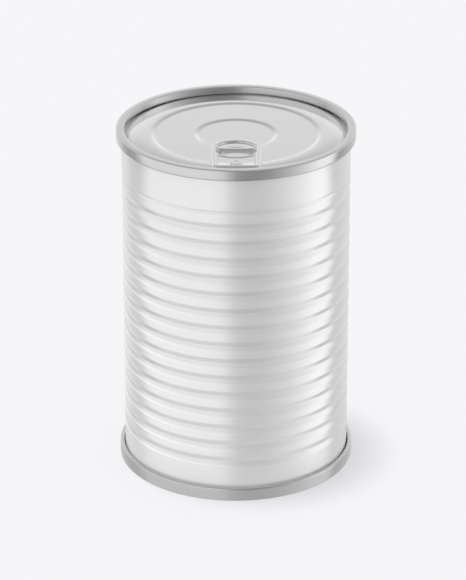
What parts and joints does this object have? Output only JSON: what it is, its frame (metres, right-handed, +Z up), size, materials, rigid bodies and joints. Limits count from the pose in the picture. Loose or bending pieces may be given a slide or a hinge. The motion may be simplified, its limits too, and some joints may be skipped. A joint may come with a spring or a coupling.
{
  "type": "ring-pull food tin",
  "caption": "Beaded steel tin with double-seamed ends and a full-aperture ring-pull lid that peels open.",
  "frame": {"origin": "centre of the base circle, on the surface the tin stands on", "axes": "+Z up the tin's axis, -Y towards the tab's nose, +X to the right of someone facing the tab"},
  "size_m": [0.0762, 0.0762, 0.114],
  "materials": {
    "body_tinplate": "bright, faintly satin",
    "end_tinplate": "bright, finely rolled",
    "panel_tinplate": "satin",
    "tab_tinplate": "satin",
    "seam_compound": "matt",
    "stripe_lacquer": "thin gold lacquer"
  },
  "bodies": {
    "can": {"can_body": "body_tinplate", "side_stripe": "stripe_lacquer", "bottom_end": "end_tinplate", "bottom_seam_compound": "seam_compound", "lid_ring": "end_tinplate", "top_seam_compound": "seam_compound"},
    "lid_panel": {"tear_panel": "panel_tinplate", "rivet": "panel_tinplate", "tab_tongue": "tab_tinplate"},
    "tab": {"pull_tab": "tab_tinplate"}
  },
  "joints": [
    {"name": "lid_peel", "type": "hinge", "parent": "can", "child": "lid_panel", "pos_m": [0, 0.03405, 0.114], "axis": [-1, 0, 0], "range_deg": [0, 115]},
    {"name": "tab_lift", "type": "hinge", "parent": "lid_panel", "child": "tab", "pos_m": [0, -0.03085, 0.11242], "axis": [1, 0, 0], "range_deg": [0, 90]}
  ]
}
